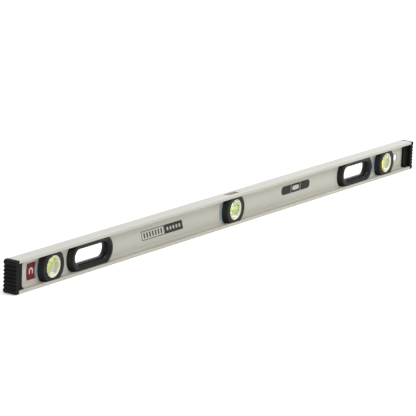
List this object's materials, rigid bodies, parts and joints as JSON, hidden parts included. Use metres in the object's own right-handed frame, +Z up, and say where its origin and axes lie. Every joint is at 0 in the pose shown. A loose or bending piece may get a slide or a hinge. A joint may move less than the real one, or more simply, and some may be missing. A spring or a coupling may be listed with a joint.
{
  "type": "spirit level",
  "caption": "Long aluminium I-beam spirit level with a level, a plumb and a sloping vial, oval hand grips, ribbed rubber end caps, a hanging hole and magnets in its base.",
  "frame": {"origin": "middle of the base, at the lowest surface, half way along and across the level", "axes": "+X along the level from the sloping vial to the plumb vial, +Z up, front face towards -Y"},
  "size_m": [1.22, 0.025, 0.054],
  "materials": {
    "beam_aluminium": "satin anodised",
    "magnet_nickel": "nickel plated",
    "cap_rubber": "matt moulded",
    "screw_steel": "zinc plated",
    "bezel_black": "fine grained",
    "grip_black": "semi-gloss",
    "plate_clear_blue": "clear, pale blue",
    "sleeve_white": "satin",
    "block_clear": "clear, polished",
    "fluid_yellow_green": "clear liquid",
    "bubble_clear": "clear",
    "line_black": "matt",
    "plug_white": "satin",
    "label_red": "printed film",
    "print_white": "printed ink",
    "print_dark": "printed ink"
  },
  "bodies": {
    "level": {"badge": "print_dark", "block_level": "block_clear", "block_plumb": "block_clear", "block_slope": "block_clear", "end_cap_left": "cap_rubber", "end_cap_right": "cap_rubber", "fluid_level": "fluid_yellow_green", "fluid_plumb": "fluid_yellow_green", "fluid_slope": "fluid_yellow_green", "front_bezel_level": "bezel_black", "front_bezel_plumb": "bezel_black", "front_bezel_slope": "bezel_black", "front_plate_level": "plate_clear_blue", "front_plate_plumb": "plate_clear_blue", "front_plate_slope": "plate_clear_blue", "grip_front_left": "grip_black", "grip_front_right": "grip_black", "grip_rear_left": "grip_black", "grip_rear_right": "grip_black", "i_beam": "beam_aluminium", "lines_level": "line_black", "lines_plumb": "line_black", "lines_slope": "line_black", "magnet_label": "label_red", "magnet_sign": "print_white", "magnets": "magnet_nickel", "plug_level": "plug_white", "plug_plumb": "plug_white", "plug_slope": "plug_white", "rear_bezel_level": "bezel_black", "rear_bezel_plumb": "bezel_black", "rear_bezel_slope": "bezel_black", "rear_plate_level": "plate_clear_blue", "rear_plate_plumb": "plate_clear_blue", "rear_plate_slope": "plate_clear_blue", "screws_level": "screw_steel", "screws_plumb": "screw_steel", "screws_slope": "screw_steel", "sleeve_level": "sleeve_white", "sleeve_plumb": "sleeve_white", "sleeve_slope": "sleeve_white", "top_window": "block_clear", "vial_mark": "print_dark"},
    "level_bubble": {"bubble_level": "bubble_clear"},
    "slope_bubble": {"bubble_slope": "bubble_clear"},
    "plumb_bubble": {"bubble_plumb": "bubble_clear"}
  },
  "joints": [
    {"name": "level_bubble_slide", "type": "slide", "parent": "level", "child": "level_bubble", "axis": [1, 0, 0], "range_m": [-0.007, 0.007], "stiffness_N_per_m": 1},
    {"name": "slope_bubble_slide", "type": "slide", "parent": "level", "child": "slope_bubble", "axis": [0.7071, 0, 0.7071], "range_m": [-0.018, 0], "stiffness_N_per_m": 1, "springref_m": 0.01},
    {"name": "plumb_bubble_slide", "type": "slide", "parent": "level", "child": "plumb_bubble", "axis": [0, 0, 1], "range_m": [-0.02, 0], "stiffness_N_per_m": 1, "springref_m": 0.01}
  ]
}
